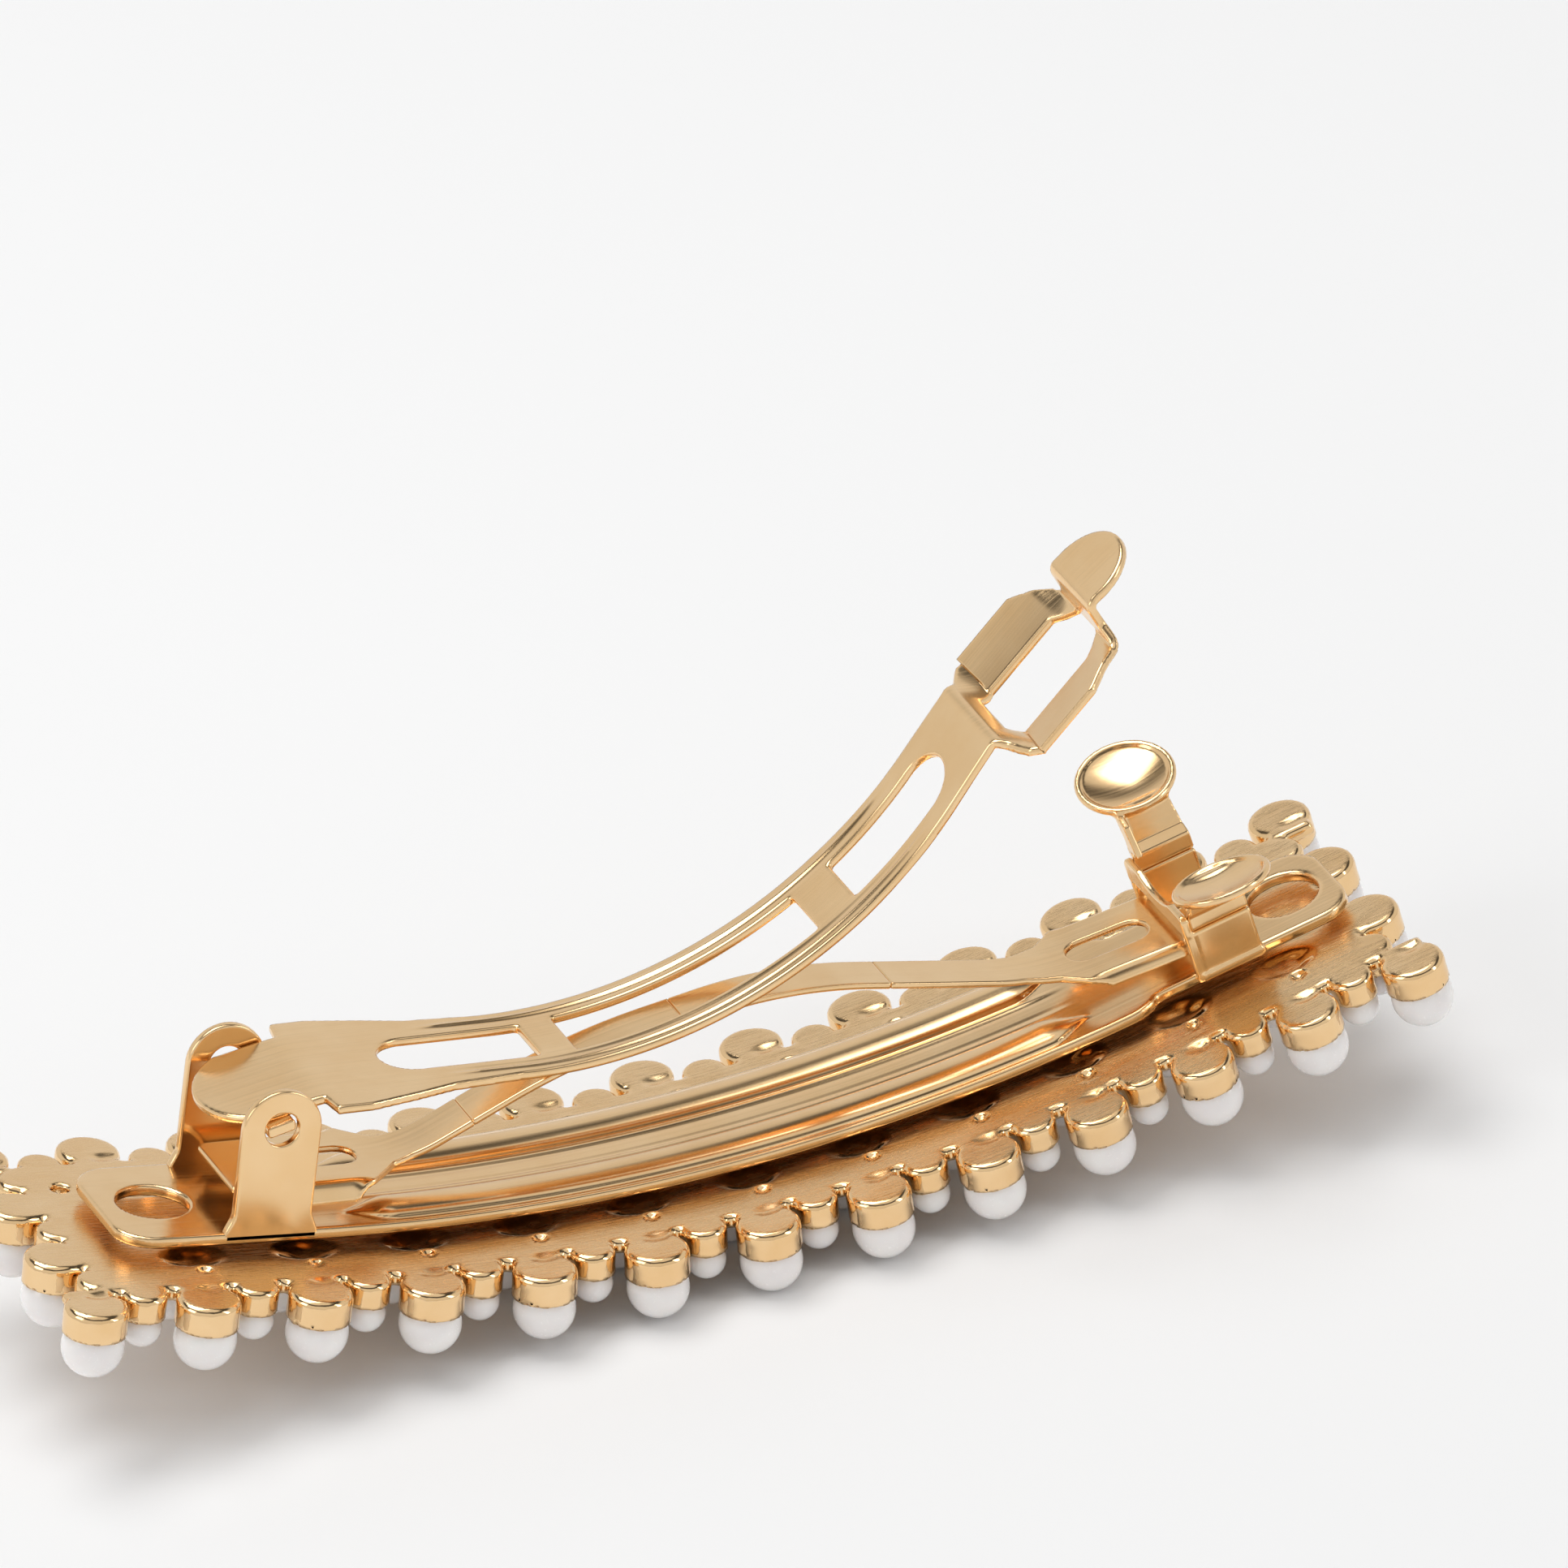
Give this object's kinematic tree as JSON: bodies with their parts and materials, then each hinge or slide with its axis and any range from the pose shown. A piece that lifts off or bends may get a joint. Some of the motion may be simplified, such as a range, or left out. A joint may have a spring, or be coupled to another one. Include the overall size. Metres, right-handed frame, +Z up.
{
  "type": "barrette",
  "caption": "Bowed pearl barrette with a cast gold-tone plate of pearl cups and an opening hair clip: hinged arm, leaf spring and two-pronged latch",
  "frame": {"origin": "centre of the bounding box's base, where the lowest pearls touch the surface", "axes": "+X along the barrette from the hinge to the latch, +Y across it, +Z up out of the back where the clip is"},
  "size_m": [0.0878, 0.0244, 0.0376],
  "materials": {
    "gold_casting": "brushed pale gold plating on the back, polished cups",
    "gold_clip": "bright pale gold plating",
    "pearl": "pearlescent white"
  },
  "bodies": {
    "base": {"casting": "gold_casting", "pearl_near_01": "pearl", "pearl_near_02": "pearl", "pearl_near_03": "pearl", "pearl_near_04": "pearl", "pearl_near_05": "pearl", "pearl_near_06": "pearl", "pearl_near_07": "pearl", "pearl_near_08": "pearl", "pearl_near_09": "pearl", "pearl_near_10": "pearl", "pearl_near_11": "pearl", "pearl_near_12": "pearl", "pearl_near_13": "pearl", "pearl_far_01": "pearl", "pearl_far_02": "pearl", "pearl_far_03": "pearl", "pearl_far_04": "pearl", "pearl_far_05": "pearl", "pearl_far_06": "pearl", "pearl_far_07": "pearl", "pearl_far_08": "pearl", "pearl_far_09": "pearl", "pearl_far_10": "pearl", "pearl_far_11": "pearl", "pearl_far_12": "pearl", "pearl_far_13": "pearl", "pearl_end_left_near": "pearl", "pearl_end_left_far": "pearl", "pearl_end_right_near": "pearl", "pearl_end_right_far": "pearl", "inner_pearls_near": "pearl", "inner_pearls_far": "pearl", "small_pearls_near": "pearl", "small_pearls_far": "pearl", "small_pearls_ends": "pearl", "clip_base": "gold_clip", "hinge_ear_near": "gold_clip", "hinge_ear_far": "gold_clip", "latch_bridge": "gold_clip", "spring_anchor": "gold_clip"},
    "prong_near": {"latch_prong_near": "gold_clip"},
    "prong_far": {"latch_prong_far": "gold_clip"},
    "pivot": {"trunnion_near": "gold_clip", "trunnion_far": "gold_clip"},
    "arm": {"arm": "gold_clip"},
    "spring_left": {"spring_left_leaf": "gold_clip"},
    "spring_middle": {"spring_middle_leaf": "gold_clip"},
    "spring_right": {"spring_right_leaf": "gold_clip"},
    "spring_slider": {"spring_slider": "gold_clip"}
  },
  "joints": [
    {"name": "arm_press", "type": "hinge", "parent": "base", "child": "pivot", "pos_m": [-0.0274, 0, 0.01564], "axis": [0, -1, 0], "range_deg": [-14.5, 0], "stiffness_Nm_per_rad": 0.06, "springref_deg": 1.15},
    {"name": "arm_swing", "type": "hinge", "parent": "pivot", "child": "arm", "pos_m": [-0.0274, 0, 0.01564], "axis": [0, -1, 0], "range_deg": [0, 70]},
    {"name": "spring_left_flex", "type": "hinge", "parent": "base", "child": "spring_left", "pos_m": [-0.019, 0, 0.00944], "axis": [0, -1, 0], "range_deg": [-27.9, 0]},
    {"name": "spring_middle_flex", "type": "hinge", "parent": "spring_left", "child": "spring_middle", "pos_m": [-0.0075, 0, 0.01325], "axis": [0, -1, 0], "range_deg": [0, 22.9]},
    {"name": "spring_right_flex", "type": "hinge", "parent": "spring_middle", "child": "spring_right", "pos_m": [0.0058, 0, 0.01432], "axis": [0, -1, 0], "range_deg": [0, 30.9]},
    {"name": "spring_slider_tilt", "type": "hinge", "parent": "spring_right", "child": "spring_slider", "pos_m": [0.0215, 0, 0.01024], "axis": [0, -1, 0], "range_deg": [-25.9, 0]},
    {"name": "prong_near_flex", "type": "hinge", "parent": "base", "child": "prong_near", "pos_m": [0.03195, -0.0045, 0.013], "axis": [0.9782, 0, 0.2077], "range_deg": [0, 6], "stiffness_Nm_per_rad": 0.08},
    {"name": "prong_far_flex", "type": "hinge", "parent": "base", "child": "prong_far", "pos_m": [0.03195, 0.0045, 0.013], "axis": [-0.9782, 0, -0.2077], "range_deg": [0, 6], "stiffness_Nm_per_rad": 0.08}
  ],
  "couplings": [
    {"joint": "spring_left_flex", "follows": "arm_press", "ratio": 1.9191},
    {"joint": "spring_middle_flex", "follows": "arm_press", "ratio": -1.5723},
    {"joint": "spring_right_flex", "follows": "arm_press", "ratio": -2.1241},
    {"joint": "spring_slider_tilt", "follows": "arm_press", "ratio": 1.7773}
  ]
}
